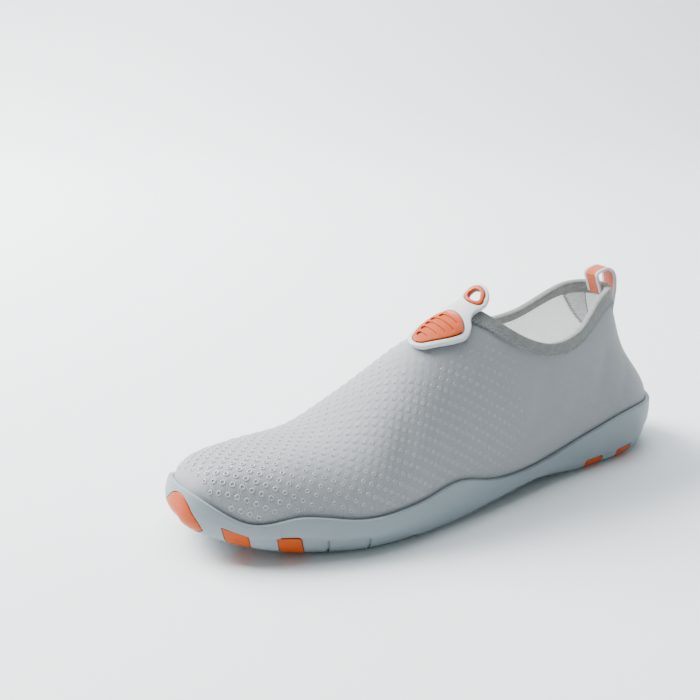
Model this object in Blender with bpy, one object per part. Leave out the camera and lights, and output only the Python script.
"""Water shoe for the left foot: a moulded rubber cup sole with orange lugs set in its edge, a knitted
stretch upper, an elastic collar binding, a rubber pull tab on the instep and a webbing loop at the heel.

The heel points to +Y, the toe to -Y and the outer side to +X. The shoe stands on z = 0, and the origin
lies below the middle of its sole. Stations run from 0 at the heel to 1 at the toe of the last.
"""
import math
from collections import namedtuple

import bmesh
import bpy
import numpy as np

# Driving sizes, in metres
LAST_LENGTH = 0.261
BALL_WIDTH = 0.088
INSTEP_HEIGHT = 0.089
COLLAR_HEIGHT = 0.085
FOXING_HEIGHT = 0.026
UPPER_WALL = 0.0015
FOXING_WALL = 0.0022
FOXING_SWELL = 0.0012
SOLE_THICKNESS = 0.006
INSOLE_THICKNESS = 0.003
FIT_GAP = 0.0003
EDGE_IN = 0.0055
EDGE_UP = 0.0060
THROAT = 0.436

BINDING_WALL = 0.0008
BINDING_DEPTH = 0.0075
BINDING_INSIDE = 0.0055
TAPE_WIDTH = 0.012
TAPE_WALL = 0.0008
LOOP_WIDTH = 0.0100
LOOP_WALL = 0.0012

TAB_ON_VAMP = 0.0368
TAB_FREE = 0.0120
TAB_WALL = 0.0024
TAB_OFFSET = 0.0026
TAB_GAP = 0.0007
TAB_RISE = math.radians(42)
TAB_END_RADIUS = 0.0068
RING_RADIUS = 0.0050
RING_HOLE = 0.0032
RING_DEPTH = 0.0013
RING_PROUD = 0.0004
BADGE_LENGTH = 0.0258
BADGE_INSET = 0.0020
BADGE_DEPTH = 0.0012
BADGE_PROUD = 0.0003
BADGE_RIM = 0.0015
BADGE_RELIEF = 0.0007
BAR_COUNT = 4
BAR_GAP = 0.0013

INSERT_DEPTH = 0.0014
STEP_DEPTH = 0.0006
GROOVE_WIDTH = 0.0018
GROOVE_DEPTH = 0.0014
NICK_WIDTH = 0.0012

# Mesh fineness: columns on each side of the foot, and levels from the feather edge to the collar
HALF = 32
UPPER_LEVELS = (0, 0.06, 0.14, 0.24, 0.34, 0.45, 0.56, 0.67, 0.78, 0.87, 0.94, 1)
SKIN_LEVELS = 61

# Half widths are shares of the ball width, ridge heights are shares of the instep height
Section = namedtuple("Section", "station lateral medial ridge crown side")
SECTIONS = (
    Section(0.000, 0.385, 0.385, 1.48, 1.40, 1.75),
    Section(0.150, 0.361, 0.354, 1.40, 1.06, 1.48),
    Section(0.300, 0.372, 0.353, 1.29, 1.38, 1.76),
    Section(0.436, 0.417, 0.366, 1.00, 1.48, 1.97),
    Section(0.570, 0.440, 0.433, 0.84, 1.64, 1.96),
    Section(0.660, 0.463, 0.495, 0.652, 1.80, 2.15),
    Section(0.750, 0.466, 0.525, 0.488, 1.98, 2.28),
    Section(0.840, 0.428, 0.538, 0.450, 2.08, 2.38),
    Section(0.920, 0.410, 0.538, 0.441, 2.19, 2.39),
    Section(1.000, 0.383, 0.531, 0.509, 2.19, 2.39),
)
HEEL_CAP, HEEL_ROUND = 0.165, 2.15
TOE_CAP_LATERAL, TOE_ROUND_LATERAL = 0.332, 2.18
TOE_CAP_MEDIAL, TOE_ROUND_MEDIAL = 0.248, 2.41
TOE_NOSE, NOSE_ROUND = 0.112, 2.3
TOE_SIDEWAYS = -0.14
WIDEST, UNDERCUT = 0.18, 0.06

# Heights are shares of the foxing height, edge is how large the rounded lower edge is
Sole = namedtuple("Sole", "station bottom_lateral bottom_medial foxing_lateral foxing_medial edge")
SOLE = (
    Sole(0.00, 0.146, 0.140, 0.930, 0.950, 1.50),
    Sole(0.10, 0.000, 0.000, 1.010, 1.010, 1.15),
    Sole(0.22, 0.000, 0.000, 0.800, 0.840, 1.07),
    Sole(0.38, 0.180, 0.230, 0.540, 0.740, 1.10),
    Sole(0.48, 0.100, 0.130, 0.620, 0.780, 1.08),
    Sole(0.57, 0.000, 0.000, 0.835, 0.820, 1.06),
    Sole(0.66, 0.000, 0.000, 0.705, 0.710, 1.03),
    Sole(0.76, 0.000, 0.000, 0.640, 0.650, 1.09),
    Sole(0.86, 0.080, 0.100, 0.780, 0.760, 1.15),
    Sole(0.94, 0.225, 0.260, 0.725, 0.770, 1.36),
    Sole(1.00, 0.410, 0.460, 1.155, 1.130, 1.35),
)

# The collar's edge as shares of its height at the back; it meets the instep at the throat
Collar = namedtuple("Collar", "station height")
COLLAR = (
    Collar(0.00, 1.006),
    Collar(0.08, 1.006),
    Collar(0.13, 0.992),
    Collar(0.24, 0.839),
    Collar(0.33, 0.839),
    Collar(0.39, 0.928),
    Collar(THROAT, INSTEP_HEIGHT / COLLAR_HEIGHT),
)

# How far the heel's back line stands forward of the last's end, as a share of the last's length
Back = namedtuple("Back", "height setback")
BACK = (
    Back(0.00, 0.008),
    Back(0.15, -0.013),
    Back(0.32, -0.015),
    Back(0.64, 0.050),
    Back(0.98, 0.080),
    Back(1.27, 0.090),
)

# Orange lugs in the sole's edge: place along the side, length and the part of the edge they cover,
# where rise 0 is the bottom's rim, 1 the top of the round and 2 the foxing's lip
Insert = namedtuple("Insert", "name side station length low high slant")
INSERTS = (
    Insert("forefoot_insert_outer_1", 1, 0.951, 0.0118, -0.55, 1.42, 0.0028),
    Insert("forefoot_insert_outer_2", 1, 0.874, 0.0112, -0.55, 1.27, 0.0028),
    Insert("forefoot_insert_inner_1", -1, 0.951, 0.0118, -0.55, 1.42, 0.0028),
    Insert("forefoot_insert_inner_2", -1, 0.874, 0.0112, -0.55, 1.27, 0.0028),
    Insert("heel_insert_outer_1", 1, 0.205, 0.0130, -0.55, 0.98, 0.0),
    Insert("heel_insert_outer_2", 1, 0.118, 0.0130, -0.55, 0.98, 0.0),
    Insert("heel_insert_inner_1", -1, 0.205, 0.0130, -0.55, 0.98, 0.0),
    Insert("heel_insert_inner_2", -1, 0.118, 0.0130, -0.55, 0.98, 0.0),
)
INSERT_CORNER = 0.0014
TOE_INSERT = Insert("toe_insert", 1, 1.0, 0.036, 0.32, 1.82, 0.0015)

# The step moulded along the outer forefoot, as its top line from behind insert 2 to the waist
StepLine = namedtuple("StepLine", "station rise")
STEP_LINE = (
    StepLine(0.895, 1.54),
    StepLine(0.863, 1.30),
    StepLine(0.826, 1.26),
    StepLine(0.752, 1.22),
    StepLine(0.690, 0.96),
    StepLine(0.640, 0.30),
)
STEP_LOW = 0.12
NICKS = (0.824, 0.757)
FLEX_GROOVES = (0.605, 0.676, 0.757, 0.824)
HEEL_GROOVES = (0.075, 0.16, 0.245)
GROOVE_BOW = 0.006

# The pull tab's half width along its length, and the badge's within it
Edge = namedtuple("Edge", "share half")
TAB_EDGE = (
    Edge(0.00, 0.0044),
    Edge(0.14, 0.0073),
    Edge(0.37, 0.0108),
    Edge(0.48, 0.0114),
    Edge(0.56, 0.0098),
    Edge(0.63, 0.0066),
    Edge(0.70, 0.0054),
    Edge(0.79, 0.0060),
    Edge(0.87, 0.0068),
    Edge(1.00, 0.0068),
)
TAB_TIP = 0.0035
BADGE_EDGE = (
    Edge(0.00, 0.0026),
    Edge(0.30, 0.0060),
    Edge(0.70, 0.0088),
    Edge(0.88, 0.0091),
    Edge(1.00, 0.0088),
)
BADGE_TIP = 0.0024
BADGE_CROWN = 0.0058

# The loop's path: height above the collar's edge, and how far it stands off its seat on either side
LoopPoint = namedtuple("LoopPoint", "height seat stand_off")
LOOP_PATH = (
    LoopPoint(-0.0185, "outside", 0.0),
    LoopPoint(-0.0150, "outside", 0.0003),
    LoopPoint(-0.0090, "outside", 0.0022),
    LoopPoint(-0.0020, "outside", 0.0040),
    LoopPoint(0.0050, "outside", 0.0028),
    LoopPoint(0.0085, "outside", -0.0020),
    LoopPoint(0.0070, "inside", -0.0028),
    LoopPoint(0.0032, "inside", -0.0022),
    LoopPoint(-0.0008, "inside", -0.0006),
    LoopPoint(-0.0042, "inside", 0.0),
)
LOOP_STEPS = 34

Finish = namedtuple("Finish", "colour roughness metallic")
FINISHES = {
    "rubber_grey": Finish((0.56, 0.60, 0.61), 0.55, 0.0),
    "rubber_orange": Finish((0.78, 0.16, 0.03), 0.50, 0.0),
    "knit_grey": Finish((0.53, 0.56, 0.57), 0.85, 0.0),
    "elastic_grey": Finish((0.28, 0.30, 0.30), 0.80, 0.0),
    "tape_light": Finish((0.60, 0.62, 0.62), 0.75, 0.0),
    "webbing_orange": Finish((0.78, 0.20, 0.04), 0.80, 0.0),
    "foam_white": Finish((0.75, 0.75, 0.74), 0.90, 0.0),
    "tab_pale": Finish((0.66, 0.71, 0.71), 0.45, 0.0),
}


# Curves through the tables

def along(rows, column, share):
    """Smooth value of a table's column at a share along it."""
    x = np.array([row[0] for row in rows], float)
    y = np.array([getattr(row, column) for row in rows], float)
    run, slope = np.diff(x), np.diff(y) / np.diff(x)
    tangent = np.empty_like(y)
    tangent[0], tangent[-1] = slope[0], slope[-1]
    tangent[1:-1] = (slope[:-1] * run[1:] + slope[1:] * run[:-1]) / (run[1:] + run[:-1])
    place = np.clip(share, x[0], x[-1])
    i = np.clip(np.searchsorted(x, place, side="right") - 1, 0, len(x) - 2)
    s = (place - x[i]) / run[i]
    start = (2 * s**3 - 3 * s**2 + 1) * y[i] + (s**3 - 2 * s**2 + s) * run[i] * tangent[i]
    end = (3 * s**2 - 2 * s**3) * y[i + 1] + (s**3 - s**2) * run[i] * tangent[i + 1]
    return start + end


def rounded(reach, power):
    """1 at reach 0, falling to 0 at reach 1 along a superellipse."""
    return (1 - np.clip(reach, 0, 1) ** power) ** (1 / power)


def smooth(share):
    """Soft step from 0 to 1."""
    s = np.clip(share, 0, 1)
    return s * s * (3 - 2 * s)


def by_side(side, lateral, medial):
    return np.where(side > 0, lateral, medial)


# The last's surface

def station_of(y):
    return 0.5 - y / LAST_LENGTH


def length_at(station):
    return LAST_LENGTH * (0.5 - station)


def centre(t):
    """Sideways place of the last's middle line, which swings inward at the toe."""
    return TOE_SIDEWAYS * BALL_WIDTH * np.clip((t - 0.5) / 0.5, 0, 1) ** 2


def half_width(t, side):
    width = by_side(side, along(SECTIONS, "lateral", t), along(SECTIONS, "medial", t))
    lateral_toe = rounded((t - 1 + TOE_CAP_LATERAL) / TOE_CAP_LATERAL, TOE_ROUND_LATERAL)
    medial_toe = rounded((t - 1 + TOE_CAP_MEDIAL) / TOE_CAP_MEDIAL, TOE_ROUND_MEDIAL)
    return BALL_WIDTH * width * by_side(side, lateral_toe, medial_toe)


def sole_bottom(t, side):
    """Height of the outsole's underside: heel and forefoot lie on the floor, waist and toe spring up."""
    lateral, medial = along(SOLE, "bottom_lateral", t), along(SOLE, "bottom_medial", t)
    return FOXING_HEIGHT * np.maximum(0, by_side(side, lateral, medial))


def footbed(t):
    """Height of the feather edge, where the upper turns under the foot."""
    return 0.5 * (sole_bottom(t, 1) + sole_bottom(t, -1)) + SOLE_THICKNESS


def foxing(t, side):
    return FOXING_HEIGHT * by_side(side, along(SOLE, "foxing_lateral", t), along(SOLE, "foxing_medial", t))


def ridge(t):
    """Height of the upper's top line, with the toe's nose rounded down to the feather edge."""
    base = footbed(t)
    nose = rounded((t - 1 + TOE_NOSE) / TOE_NOSE, NOSE_ROUND)
    return base + (INSTEP_HEIGHT * along(SECTIONS, "ridge", t) - base) * nose


def collar(t):
    return COLLAR_HEIGHT * along(COLLAR, "height", t)


def back(z):
    return along(BACK, "setback", z / COLLAR_HEIGHT)


def section_x(t, z, side):
    """Sideways place of the upper's outer face at a station and height."""
    base = footbed(t)
    rise = np.clip((z - base) / np.maximum(ridge(t) - base, 1e-6), 0, 1)
    tuck = 1 - UNDERCUT * np.clip(1 - rise / WIDEST, 0, 1) ** 2
    high = np.clip((rise - WIDEST) / (1 - WIDEST), 0, 1)
    shape = (1 - high ** along(SECTIONS, "crown", t)) ** (1 / along(SECTIONS, "side", t))
    heel = rounded(1 - (t - back(z)) / HEEL_CAP, HEEL_ROUND)
    return centre(t) + side * half_width(t, side) * heel * tuck * shape


def vamp_z(t, x):
    """Height of the vamp's outer face in front of the throat, at a station and sideways place."""
    side = np.where(x >= centre(t), 1, -1)
    across = np.clip(np.abs(x - centre(t)) / np.maximum(half_width(t, side), 1e-6), 0, 1)
    high = (1 - across ** along(SECTIONS, "side", t)) ** (1 / along(SECTIONS, "crown", t))
    base = footbed(t)
    return base + (WIDEST + (1 - WIDEST) * high) * (ridge(t) - base)


def heel_y(x, z):
    """Length place of the heel's outer face at a sideways place near the middle and a height."""
    low, high = float(back(z)), float(back(z)) + HEEL_CAP / 2
    for _ in range(40):
        middle = 0.5 * (low + high)
        if float(section_x(middle, z, 1)) < abs(x):
            low = middle
        else:
            high = middle
    return length_at(0.5 * (low + high))


# Lines round the foot

def toe_stations(count):
    """Stations from the toe back to the throat, close together near both ends."""
    return 1 - (1 - THROAT) * (0.5 - 0.5 * np.cos(np.linspace(0, math.pi, count)))


RIDGE_T = toe_stations(400)
RIDGE_RUN = np.concatenate([[0], np.cumsum(np.hypot(np.diff(length_at(RIDGE_T)), np.diff(ridge(RIDGE_T))))])
RIDGE_SHARE = RIDGE_RUN / RIDGE_RUN[-1]


def level_height(level, t):
    """Height of the line that lies a given share of the way from the feather edge to the collar."""
    base = footbed(t)
    share = np.interp(t, RIDGE_T[::-1], RIDGE_SHARE[::-1])
    front = (ridge(t) - base) / np.maximum(share, 1e-9)
    return base + level * np.where(t <= THROAT, collar(np.minimum(t, THROAT)) - base, front)


def level_line(level):
    """Closed line round the upper at one level: heel, outer side, toe and inner side."""
    start = 0.0
    for _ in range(12):
        start = float(back(level_height(level, np.array(start))))
    front = float(np.interp(level, RIDGE_SHARE, RIDGE_T))
    t = start + (front - start) * (0.5 - 0.5 * np.cos(np.linspace(0, math.pi, 240)))
    z = level_height(level, t)
    halves = []
    for side in (1, -1):
        x = section_x(t, z, side)
        x[0], x[-1] = 0.0, float(centre(t[-1]))
        line = np.stack([x, length_at(t), z], axis=1)
        run = np.concatenate([[0], np.cumsum(np.linalg.norm(np.diff(line, axis=0), axis=1))])
        even = np.linspace(0, run[-1], HALF + 1)
        halves.append(np.stack([np.interp(even, run, line[:, k]) for k in range(3)], axis=1))
    return np.vstack([halves[0], halves[1][-2:0:-1]])


def surface_normals(grid):
    """Outward unit normals of a grid of closed lines, one line for each level."""
    up = np.gradient(grid, axis=0)
    around = np.roll(grid, -1, axis=1) - np.roll(grid, 1, axis=1)
    normal = np.cross(up, around)
    normal /= np.linalg.norm(normal, axis=2, keepdims=True)
    return normal if normal[-1, HALF // 2, 0] > 0 else -normal


def plan_normals(line):
    """Outward level normals of a closed line."""
    step = np.roll(line, -1, axis=0) - np.roll(line, 1, axis=0)
    normal = np.stack([-step[:, 1], step[:, 0], np.zeros(len(line))], axis=1)
    normal /= np.linalg.norm(normal, axis=1, keepdims=True)
    return normal if normal[HALF // 2, 0] > 0 else -normal


LEVELS = np.linspace(0, 1, SKIN_LEVELS)
SKIN = np.array([level_line(level) for level in LEVELS])
NORMALS = surface_normals(SKIN)
SIDES = np.where(np.arange(2 * HALF) <= HALF, 1, -1)
FEATHER = SKIN[0]
FEATHER_OUT = plan_normals(FEATHER)
FEATHER_T = station_of(FEATHER[:, 1])


def on_skin(level):
    """Points and normals of every column at a level, which may differ from column to column."""
    place = np.broadcast_to(level, (2 * HALF,)) * (SKIN_LEVELS - 1)
    low = np.clip(np.floor(place).astype(int), 0, SKIN_LEVELS - 2)
    share = (place - low)[:, None]
    column = np.arange(2 * HALF)
    point = SKIN[low, column] * (1 - share) + SKIN[low + 1, column] * share
    normal = NORMALS[low, column] * (1 - share) + NORMALS[low + 1, column] * share
    return point, normal / np.linalg.norm(normal, axis=1, keepdims=True)


def lip_levels():
    """Level at which each column of the upper passes the foxing's lip."""
    levels = np.empty(2 * HALF)
    for column, side in enumerate(SIDES):
        above = SKIN[:, column, 2] - foxing(station_of(SKIN[:, column, 1]), side)
        first = int(np.argmax(above > 0))
        share = above[first - 1] / (above[first - 1] - above[first])
        levels[column] = LEVELS[first - 1] + share * (LEVELS[1] - LEVELS[0])
    return levels


def collar_levels(depth):
    """Level of each column at a distance below the collar's edge, measured along the column."""
    levels = np.empty(2 * HALF)
    for column in range(2 * HALF):
        line = SKIN[::-1, column]
        run = np.concatenate([[0], np.cumsum(np.linalg.norm(np.diff(line, axis=0), axis=1))])
        levels[column] = np.interp(depth, run, LEVELS[::-1])
    return levels


LIP = lip_levels()


# Meshes and objects

def material(name):
    """Principled material for a finish, made once."""
    made = bpy.data.materials.get(name)
    if made is None:
        finish = FINISHES[name]
        made = bpy.data.materials.new(name)
        made.use_nodes = True
        shader = made.node_tree.nodes["Principled BSDF"]
        shader.inputs["Base Color"].default_value = (*finish.colour, 1)
        shader.inputs["Roughness"].default_value = finish.roughness
        shader.inputs["Metallic"].default_value = finish.metallic
        made.diffuse_color = (*finish.colour, 1)
    return made


def add_object(name, bm, finish, triangles=False):
    """Turn a closed bmesh into a named object with its faces pointing out.

    Warped quads are made triangles before a Boolean, which wants flat faces.
    """
    bmesh.ops.recalc_face_normals(bm, faces=bm.faces)
    if bm.calc_volume(signed=True) < 0:
        bmesh.ops.reverse_faces(bm, faces=bm.faces)
    if triangles:
        bmesh.ops.triangulate(bm, faces=bm.faces)
    mesh = bpy.data.meshes.new(name)
    bm.to_mesh(mesh)
    bm.free()
    made = bpy.data.objects.new(name, mesh)
    bpy.context.scene.collection.objects.link(made)
    if finish:
        mesh.materials.append(material(finish))
        mesh.shade_smooth()
        mesh.set_sharp_from_angle(angle=math.radians(35))
    return made


def hide_cutter(cutter):
    cutter.hide_render = True
    cutter.display_type = "WIRE"
    return cutter


def cut(piece, cutter):
    """Live exact Boolean that takes the cutter out of the piece."""
    boolean = piece.modifiers.new(cutter.name, "BOOLEAN")
    boolean.operation = "DIFFERENCE"
    boolean.object = hide_cutter(cutter)


def applied(piece):
    """Bmesh of the piece with its modifiers applied; the piece and its cutters are removed."""
    bpy.context.view_layer.update()
    evaluated = piece.evaluated_get(bpy.context.evaluated_depsgraph_get())
    bm = bmesh.new()
    bm.from_mesh(evaluated.to_mesh())
    for cutter in [modifier.object for modifier in piece.modifiers]:
        bpy.data.objects.remove(cutter)
    bpy.data.objects.remove(piece)
    return bm


def add_rings(bm, rings, closed):
    """Join closed lines of equal length with quads; closed joins the last ring to the first."""
    rows = [[bm.verts.new(point) for point in ring] for ring in rings]
    pairs = list(zip(rows, rows[1:]))
    if closed:
        pairs.append((rows[-1], rows[0]))
    for lower, upper in pairs:
        for i in range(len(lower)):
            j = (i + 1) % len(lower)
            bm.faces.new((lower[i], lower[j], upper[j], upper[i]))
    return rows


def fill_across(bm, ring, shares):
    """Fill a ring round the foot with rows of quads from its outer to its inner side."""
    rows = [[ring[0]]]
    for i in range(1, HALF):
        outer, inner = ring[i], ring[2 * HALF - i]
        rows.append([outer] + [bm.verts.new(outer.co.lerp(inner.co, share)) for share in shares] + [inner])
    rows.append([ring[HALF]])
    for first, second in zip(rows, rows[1:]):
        for i in range(max(len(first), len(second)) - 1):
            corners = [first[min(i, len(first) - 1)], first[min(i + 1, len(first) - 1)],
                       second[min(i + 1, len(second) - 1)], second[min(i, len(second) - 1)]]
            bm.faces.new(list(dict.fromkeys(corners)))


def prism(name, outline, low, high):
    """Flat solid of an outline of (across, along) points, from height low to high."""
    bm = bmesh.new()
    face = bm.faces.new([bm.verts.new((x, y, low)) for x, y in outline])
    extruded = bmesh.ops.extrude_face_region(bm, geom=[face])["geom"]
    top = [item for item in extruded if isinstance(item, bmesh.types.BMVert)]
    bmesh.ops.translate(bm, verts=top, vec=(0, 0, high - low))
    return add_object(name, bm, None)


def slice_through(bm, axis, places):
    """Add edges where planes across an axis pass through the solid."""
    normal = [0, 0, 0]
    normal[axis] = 1
    for place in places:
        point = [0, 0, 0]
        point[axis] = place
        geometry = bm.verts[:] + bm.edges[:] + bm.faces[:]
        bmesh.ops.bisect_plane(bm, geom=geometry, dist=1e-7, plane_co=point, plane_no=normal)


def bend(bm, mapping):
    """Carry each vertex from the flat drawing to its place on the shoe."""
    for vertex in bm.verts:
        vertex.co = mapping(*vertex.co)


def circle(radius, count, across=0.0, lengthwise=0.0):
    angles = [2 * math.pi * i / count for i in range(count)]
    return [(across + radius * math.cos(a), lengthwise + radius * math.sin(a)) for a in angles]


def mirrored(halves):
    """Closed outline from (half width, along) points given for one side, ends on the middle line."""
    other = [(-x, y) for x, y in reversed(halves) if x > 1e-9]
    return halves + other


# Sole

def sole_skin(rise):
    """Outer face of the sole: rise -1 to 0 under the foot, 0 to 1 round the edge, 1 to 2 up the wall."""
    size = along(SOLE, "edge", FEATHER_T)
    bottom = np.where(SIDES > 0, sole_bottom(FEATHER_T, 1), sole_bottom(FEATHER_T, -1))
    low_wall = FIT_GAP + FOXING_WALL + FOXING_SWELL
    if rise <= 1:
        angle = max(rise, 0) * math.pi / 2
        inset = EDGE_IN * size * (1 - math.sin(angle) - min(rise, 0) * 1.6)
        point = FEATHER + FEATHER_OUT * (low_wall - inset)[:, None]
        point[:, 2] = bottom + EDGE_UP * size * (1 - math.cos(angle))
        return point
    share = rise - 1
    point, normal = on_skin(LIP * share)
    lower = FEATHER + FEATHER_OUT * low_wall
    lower[:, 2] = bottom + EDGE_UP * size
    wall = point + normal * (FIT_GAP + FOXING_WALL + FOXING_SWELL * (1 - share))
    blend = smooth(share / 0.35)
    return lower + (wall - lower) * blend


EDGE_RISES = (0, 0.33, 0.67, 1)
WALL_RISES = (1.4, 1.75, 1.95)
PATCH_RISES = (-1,) + EDGE_RISES + WALL_RISES
PATCH_SHIFT = 0.021
PATCH_RINGS = np.array([sole_skin(rise) for rise in PATCH_RISES])
PATCH_NORMALS = surface_normals(PATCH_RINGS)


def on_sole(column, rise, depth):
    """Point a depth below the sole's outer face, at a column that needs not be whole and a rise."""
    place = np.interp(rise, PATCH_RISES, range(len(PATCH_RISES)))
    row = min(int(place), len(PATCH_RISES) - 2)
    up, first = place - row, math.floor(column)
    around = column - first
    total = np.zeros(6)
    for i, j, weight in ((0, 0, (1 - up) * (1 - around)), (1, 0, up * (1 - around)),
                         (0, 1, (1 - up) * around), (1, 1, up * around)):
        index = (row + i, (first + j) % (2 * HALF))
        total += weight * np.concatenate([PATCH_RINGS[index], PATCH_NORMALS[index]])
    return total[:3] - total[3:] / np.linalg.norm(total[3:]) * depth


def column_at(side, station):
    """Column of the sole's widest ring at a station on one side."""
    ring = PATCH_RINGS[PATCH_RISES.index(1)]
    columns = np.arange(HALF + 1) if side > 0 else (2 * HALF - np.arange(HALF + 1))
    return float(np.interp(station, station_of(ring[columns % (2 * HALF), 1]), columns))


def column_run(column):
    """Length of one column's step along the sole's widest ring."""
    ring = PATCH_RINGS[PATCH_RISES.index(1)]
    here, there = int(column) % (2 * HALF), (int(column) + 1) % (2 * HALF)
    return float(np.linalg.norm(ring[there] - ring[here]))


def rise_run(column, low, high):
    """Length on the sole's face between two rises at a column."""
    points = [on_sole(column, rise, 0) for rise in np.linspace(low, high, 9)]
    return float(np.linalg.norm(np.diff(points, axis=0), axis=1).sum())


def patch(name, finish, outline, column, depths, steps):
    """Solid that follows the sole's face: the outline holds (length, rise) points about a column."""
    run = column_run(column)
    flat = prism(name, outline, 0, 1)
    bm = bmesh.new()
    bm.from_mesh(flat.data)
    bpy.data.objects.remove(flat)
    lengths = [point[0] for point in outline]
    count = max(1, round((max(lengths) - min(lengths)) / steps))
    slice_through(bm, 0, np.linspace(min(lengths), max(lengths), count + 1)[1:-1])
    slice_through(bm, 1, [rise + PATCH_SHIFT for rise in PATCH_RISES])
    outer, inner = depths
    bend(bm, lambda x, y, z: on_sole(column + x / run, y, inner + (outer - inner) * z))
    return add_object(name, bm, finish, triangles=True)


def lug_outline(insert, column, shrink):
    """Rounded parallelogram of a lug, taken in by a gap on every side."""
    rise_scale = rise_run(column, insert.low, insert.high) / (insert.high - insert.low)
    reach = insert.length / 2 - shrink
    low, high = insert.low + shrink / rise_scale, insert.high - shrink / rise_scale
    radius = INSERT_CORNER - shrink / 2
    points = []
    for sign_x, sign_y, start in ((1, 1, 0), (-1, 1, 90), (-1, -1, 180), (1, -1, 270)):
        for angle in (start + 0, start + 45, start + 90):
            x = sign_x * (reach - radius) + radius * math.cos(math.radians(angle))
            y = radius * math.sin(math.radians(angle)) - sign_y * radius
            rise = (high if sign_y > 0 else low) + y / rise_scale
            points.append((x + insert.slant * (rise - low) / (high - low), rise))
    return points


def leaf_outline(insert, column, shrink):
    """Almond of the toe's lug: pointed at both ends, with its lower side the fuller one."""
    rise_scale = rise_run(column, insert.low, insert.high) / (insert.high - insert.low)
    reach = insert.length / 2 - shrink * 2
    tip = insert.low + 0.30 * (insert.high - insert.low)
    upper = insert.high - tip - shrink / rise_scale
    lower = tip - insert.low - shrink / rise_scale
    points = []
    for i in range(9):
        across = 1 - 2 * i / 8
        points.append((insert.slant + reach * across, tip + upper * (1 - abs(across) ** 2.4) + 0.02))
    for i in range(9):
        across = -1 + 2 * i / 8
        points.append((insert.slant + reach * across, tip - lower * (1 - abs(across) ** 2.4) - 0.02))
    return points


def build_inserts(outsole):
    """Orange lugs in pockets of the sole's edge."""
    for insert in INSERTS + (TOE_INSERT,):
        column = column_at(insert.side, insert.station) if insert is not TOE_INSERT else float(HALF)
        outline = leaf_outline if insert is TOE_INSERT else lug_outline
        pocket = patch("cut_" + insert.name, None, outline(insert, column, 0), column,
                       (-0.002, INSERT_DEPTH + FIT_GAP), 0.004)
        cut(outsole, pocket)
        patch(insert.name, "rubber_orange", outline(insert, column, FIT_GAP), column,
              (0, INSERT_DEPTH), 0.004)


def build_step(outsole):
    """The step along the outer forefoot, and the nicks where flex grooves reach it."""
    column = column_at(1, 0.5 * (STEP_LINE[0].station + STEP_LINE[-1].station))
    run = column_run(column)
    tops = [((column_at(1, row.station) - column) * run, row.rise) for row in STEP_LINE]
    low = [(tops[-1][0], STEP_LOW), (tops[0][0], STEP_LOW)]
    cut(outsole, patch("cut_step", None, tops + low, column, (-0.002, STEP_DEPTH), 0.006))
    for i, station in enumerate(NICKS):
        place = column_at(1, station)
        top = float(along(STEP_LINE[::-1], "rise", station)) - 0.1
        half = NICK_WIDTH / 2
        outline = [(half, top), (-half, top), (-half, -0.3), (half, -0.3)]
        cut(outsole, patch("cut_nick_%d" % i, None, outline, place, (-0.002, GROOVE_DEPTH), 0.004))


def build_grooves(outsole):
    """Bowed flex grooves across the underside of the forefoot and heel."""
    for i, station in enumerate(FLEX_GROOVES + HEEL_GROOVES):
        bow = GROOVE_BOW if station > 0.5 else -GROOVE_BOW
        top = float(0.5 * (sole_bottom(station, 1) + sole_bottom(station, -1))) + GROOVE_DEPTH
        reach = float(0.5 * (half_width(station, 1) + half_width(station, -1))) * 0.82
        middle = float(centre(station))
        places = [(k / 6, middle + reach * k / 6) for k in range(-6, 7)]
        front = [(x, length_at(station) + bow * share**2 + GROOVE_WIDTH / 2) for share, x in places]
        rear = [(x, length_at(station) + bow * share**2 - GROOVE_WIDTH / 2) for share, x in reversed(places)]
        cut(outsole, prism("cut_groove_%d" % i, front + rear, -0.002, top))


def build_outsole():
    """Cup sole: flat underside, rounded edge, foxing wall with a wavy lip, and a floor for the insole."""
    rings = [sole_skin(rise) for rise in EDGE_RISES + WALL_RISES]
    lip, normal = on_skin(LIP)
    rings.append(lip + normal * (FIT_GAP + 0.5 * FOXING_WALL) + np.array([0, 0, 0.0004]))
    for share in (1, 0.7, 0.4):
        point, normal = on_skin(LIP * share)
        rings.append(point + normal * FIT_GAP)
    floor = FEATHER + FEATHER_OUT * FIT_GAP
    floor[:, 2] = footbed(FEATHER_T) - FIT_GAP
    rings.append(floor)
    bm = bmesh.new()
    rows = add_rings(bm, rings, closed=False)
    fill_across(bm, rows[0], (0.25, 0.5, 0.75))
    fill_across(bm, rows[-1], (0.33, 0.67))
    outsole = add_object("outsole", bm, "rubber_grey", triangles=True)
    build_inserts(outsole)
    build_step(outsole)
    build_grooves(outsole)


def build_insole():
    """Foam sheet on the sole's floor, inside the upper's wall."""
    line = FEATHER - FEATHER_OUT * (1.15 * UPPER_WALL + 2 * FIT_GAP)
    line[:, 2] = footbed(FEATHER_T)
    heights = (0, INSOLE_THICKNESS)
    bm = bmesh.new()
    rows = add_rings(bm, [line + np.array([0, 0, height]) for height in heights], closed=False)
    fill_across(bm, rows[0], (0.33, 0.67))
    fill_across(bm, rows[-1], (0.33, 0.67))
    add_object("insole", bm, "foam_white")


# Upper and what is sewn to it

def build_upper():
    """One hollow shell of knit, open at the collar and underneath."""
    outer = [on_skin(level) for level in UPPER_LEVELS]
    outside = [point for point, _ in outer]
    inside = [point - normal * UPPER_WALL for point, normal in reversed(outer)]
    bm = bmesh.new()
    add_rings(bm, outside + inside, closed=True)
    add_object("upper", bm, "knit_grey")


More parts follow.
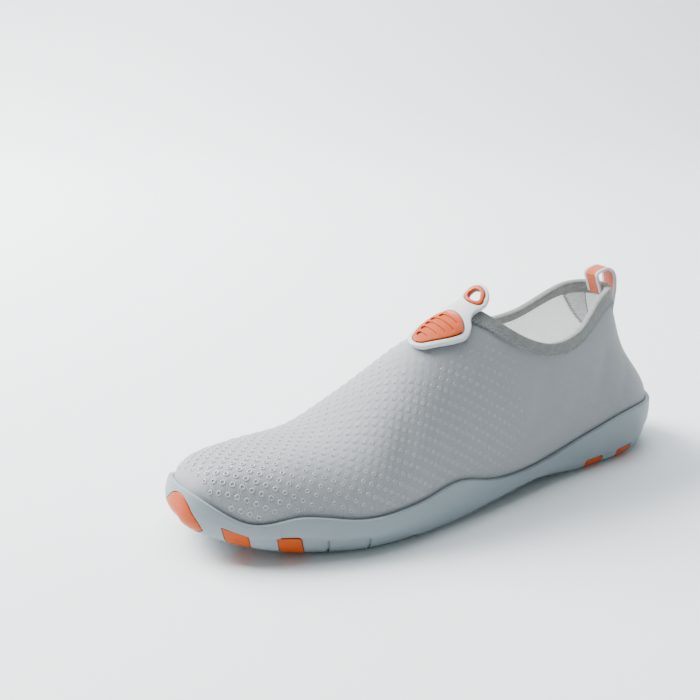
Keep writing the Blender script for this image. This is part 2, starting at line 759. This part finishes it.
def build_binding():
    """Elastic folded over the collar's edge, with a leg down each side of the upper."""
    edge, normal = on_skin(np.ones(2 * HALF))
    below, _ = on_skin(collar_levels(BINDING_DEPTH / 3))
    upward = (edge - below) / np.linalg.norm(edge - below, axis=1, keepdims=True)
    near, far = FIT_GAP, FIT_GAP + BINDING_WALL
    rings = []
    outside_depths = (BINDING_DEPTH, BINDING_DEPTH / 2, 0)
    for depth in outside_depths:
        point, out = on_skin(collar_levels(depth))
        rings.append(point + out * far)
    rings.append(edge + normal * (far - BINDING_WALL / 3) + upward * (far - BINDING_WALL / 3))
    rings.append(edge - normal * (UPPER_WALL + far - BINDING_WALL / 3) + upward * (far - BINDING_WALL / 3))
    for depth in (0, BINDING_INSIDE):
        point, out = on_skin(collar_levels(depth))
        rings.append(point - out * (UPPER_WALL + far))
    point, out = on_skin(collar_levels(BINDING_INSIDE))
    rings.append(point - out * (UPPER_WALL + near))
    rings.append(edge - normal * (UPPER_WALL + near) + upward * near)
    rings.append(edge + normal * near + upward * near)
    for depth in reversed(outside_depths[:2]):
        point, out = on_skin(collar_levels(depth))
        rings.append(point + out * near)
    bm = bmesh.new()
    add_rings(bm, rings, closed=True)
    add_object("collar_binding", bm, "elastic_grey")


def build_heel_tape():
    """Tape over the heel seam, from the foxing's lip to the binding."""
    bottom = float(foxing(0.0, 1)) + 0.0012
    top = float(collar(back(COLLAR_HEIGHT))) - BINDING_DEPTH * 0.96 - FIT_GAP
    across = np.linspace(-TAPE_WIDTH / 2, TAPE_WIDTH / 2, 5)
    inner, outer = [], []
    for z in np.linspace(bottom, top, 9):
        y = np.array([heel_y(x, z) for x in across])
        lean = (heel_y(0, z + 0.001) - heel_y(0, z - 0.001)) / 0.002
        out = np.array([0, 1, -lean]) / math.hypot(1, lean)
        points = np.stack([across, y, np.full(5, z)], axis=1)
        inner.append(points + out * FIT_GAP)
        outer.append(points + out * (FIT_GAP + TAPE_WALL))
    bm = bmesh.new()
    rows = [list(first) + list(second[::-1]) for first, second in zip(inner, outer)]
    made = add_rings(bm, rows, closed=False)
    for ring in (made[0], made[-1]):
        for i in range(4):
            bm.faces.new((ring[i], ring[i + 1], ring[8 - i], ring[9 - i]))
    add_object("heel_tape", bm, "tape_light")


def loop_line():
    """Middle line of the webbing loop in the plane x = 0, as (length, height) points."""
    top = float(collar(back(COLLAR_HEIGHT)))
    rows = []
    for i, row in enumerate(LOOP_PATH):
        z = top + row.height
        if row.seat == "outside":
            seat = heel_y(0, min(z, top)) + FIT_GAP + TAPE_WALL + FIT_GAP + LOOP_WALL / 2
            if z > top - BINDING_DEPTH:
                seat += BINDING_WALL - TAPE_WALL
        else:
            seat = heel_y(LOOP_WIDTH / 2, min(z, top)) - UPPER_WALL - BINDING_WALL - 3 * FIT_GAP - LOOP_WALL / 2
        rows.append((i / (len(LOOP_PATH) - 1), seat + row.stand_off, z))
    Place = namedtuple("Place", "share y z")
    rows = [Place(*row) for row in rows]
    shares = np.linspace(0, 1, LOOP_STEPS)
    return np.stack([along(rows, "y", shares), along(rows, "z", shares)], axis=1)


def build_loop():
    """Webbing loop that stands over the collar at the heel."""
    line = loop_line()
    step = np.gradient(line, axis=0)
    out = np.stack([step[:, 1], -step[:, 0]], axis=1) / np.linalg.norm(step, axis=1, keepdims=True)
    half = LOOP_WIDTH / 2
    rings = []
    for (y, z), (out_y, out_z) in zip(line, out * LOOP_WALL / 2):
        rings.append([(-half, y + out_y, z + out_z), (half, y + out_y, z + out_z),
                      (half, y - out_y, z - out_z), (-half, y - out_y, z - out_z)])
    bm = bmesh.new()
    rows = add_rings(bm, rings, closed=False)
    bm.faces.new(rows[0])
    bm.faces.new(rows[-1])
    add_object("pull_loop", bm, "webbing_orange")


# Pull tab on the instep

TAB_LENGTH = TAB_ON_VAMP + TAB_FREE
VAMP_RUN = RIDGE_RUN[-1] - RIDGE_RUN
BINDING_LIFT = BINDING_WALL + FIT_GAP


def tab_surface(across, lengthwise):
    """Point of the face that the tab lies on: the vamp, and past the throat its rising free end."""
    forward = TAB_ON_VAMP - lengthwise
    t = float(np.interp(max(forward, 0), VAMP_RUN[::-1], RIDGE_T[::-1]))
    x = float(centre(t)) + TAB_OFFSET + across
    point = np.array([x, length_at(t), float(vamp_z(t, x))])
    if forward < 0:
        slope = math.atan2(float(ridge(THROAT) - ridge(THROAT + 0.02)), 0.02 * LAST_LENGTH)
        free = -forward
        turn = min(free / TAB_FREE * 1.6, 1)
        angle = slope + (TAB_RISE - slope) * turn * 0.75
        point += free * np.array([0, math.cos(angle), math.sin(angle)])
    return point


def on_tab(across, lengthwise, height):
    """Carry a point of the flat drawing onto the instep, lifted over the binding near the throat."""
    step = 0.0004
    point = tab_surface(across, lengthwise)
    side = tab_surface(across + step, lengthwise) - tab_surface(across - step, lengthwise)
    ahead = tab_surface(across, lengthwise + step) - tab_surface(across, lengthwise - step)
    normal = np.cross(side, ahead)
    normal /= np.linalg.norm(normal)
    lift = BINDING_LIFT * smooth((lengthwise - TAB_ON_VAMP + 1.5 * BINDING_DEPTH) / (0.4 * BINDING_DEPTH))
    return point + normal * (TAB_GAP + lift + height)


def edge_outline(rows, length, start, tip, end, count, shrink=0.0):
    """Closed outline from a table of half widths, rounded at its tip and its end."""
    halves = []
    for i in range(count + 1):
        share = 0.5 - 0.5 * math.cos(math.pi * i / count)
        place = shrink + share * (length - 2 * shrink)
        width = float(along(rows, "half", place / length)) - shrink
        width *= float(rounded(1 - (place - shrink) / tip, 2) * rounded((place - length + shrink + end) / end, 2))
        halves.append((max(width, 0.0), start + place))
    return mirrored(halves)


def badge_outline(shrink):
    return edge_outline(BADGE_EDGE, BADGE_LENGTH, BADGE_INSET, BADGE_TIP, BADGE_CROWN, 14, shrink)


def tab_piece(name, finish, flat):
    """Slice a flat drawing finely enough to bend, then lay it on the instep."""
    bm = applied(flat)
    slice_through(bm, 1, np.arange(0.004, TAB_LENGTH, 0.0052))
    slice_through(bm, 0, (-0.0042, 0, 0.0042))
    bend(bm, on_tab)
    return add_object(name, bm, finish)


def build_tab():
    """Rubber pull tab with a shield end, a neck and a ring end that stands free of the throat."""
    ring_centre = TAB_LENGTH - TAB_END_RADIUS
    outline = edge_outline(TAB_EDGE, TAB_LENGTH, 0.0, TAB_TIP, TAB_END_RADIUS, 26)
    flat = prism("flat_tab", outline, 0, TAB_WALL)
    cut(flat, prism("cut_badge", badge_outline(0), TAB_WALL - BADGE_DEPTH - FIT_GAP, 2 * TAB_WALL))
    cut(flat, prism("cut_hole", circle(RING_HOLE, 20, 0, ring_centre), -TAB_WALL, 2 * TAB_WALL))
    cut(flat, prism("cut_seat", circle(RING_RADIUS + FIT_GAP, 24, 0, ring_centre),
                    TAB_WALL - RING_DEPTH - FIT_GAP, 2 * TAB_WALL))
    tab_piece("instep_tab", "tab_pale", flat)

    ring = prism("flat_ring", circle(RING_RADIUS, 24, 0, ring_centre), TAB_WALL - RING_DEPTH, TAB_WALL + RING_PROUD)
    cut(ring, prism("cut_ring", circle(RING_HOLE, 20, 0, ring_centre), 0, 2 * TAB_WALL))
    tab_piece("tab_ring", "rubber_orange", ring)


def build_badge():
    """Orange shield in the tab, with a raised rim and plain grip bars across it."""
    top = TAB_WALL + BADGE_PROUD
    flat = prism("flat_badge", badge_outline(FIT_GAP), TAB_WALL - BADGE_DEPTH, top)
    inner_start, inner_end = BADGE_INSET + 2.2 * BADGE_RIM, BADGE_INSET + BADGE_LENGTH - 1.6 * BADGE_RIM
    pitch = (inner_end - inner_start) / (BAR_COUNT + 1)
    for i in range(BAR_COUNT + 1):
        low, high = inner_start + i * pitch, inner_start + i * pitch + pitch - BAR_GAP
        middle = 0.5 * (low + high)
        reach = float(along(BADGE_EDGE, "half", (middle - BADGE_INSET) / BADGE_LENGTH)) - BADGE_RIM - FIT_GAP
        if i == BAR_COUNT:
            reach *= 0.72
        corner = 0.4 * (high - low)
        outline = []
        for sign_x, sign_y, start in ((1, 1, 0), (-1, 1, 90), (-1, -1, 180), (1, -1, 270)):
            for angle in (start, start + 45, start + 90):
                outline.append((sign_x * (reach - corner) + corner * math.cos(math.radians(angle)),
                                (high - corner if sign_y > 0 else low + corner)
                                + corner * math.sin(math.radians(angle))))
        cut(flat, prism("cut_bar_%d" % i, outline, top - BADGE_RELIEF, top + TAB_WALL))
    tab_piece("badge_inlay", "rubber_orange", flat)


# Whole shoe

def main():
    for old in list(bpy.data.objects):
        bpy.data.objects.remove(old)
    build_outsole()
    build_insole()
    build_upper()
    build_binding()
    build_heel_tape()
    build_loop()
    build_tab()
    build_badge()
    middle = 0.5 * (PATCH_RINGS.min(axis=(0, 1)) + PATCH_RINGS.max(axis=(0, 1)))
    for piece in bpy.data.objects:
        piece.location = (-middle[0], -middle[1], 0)


main()
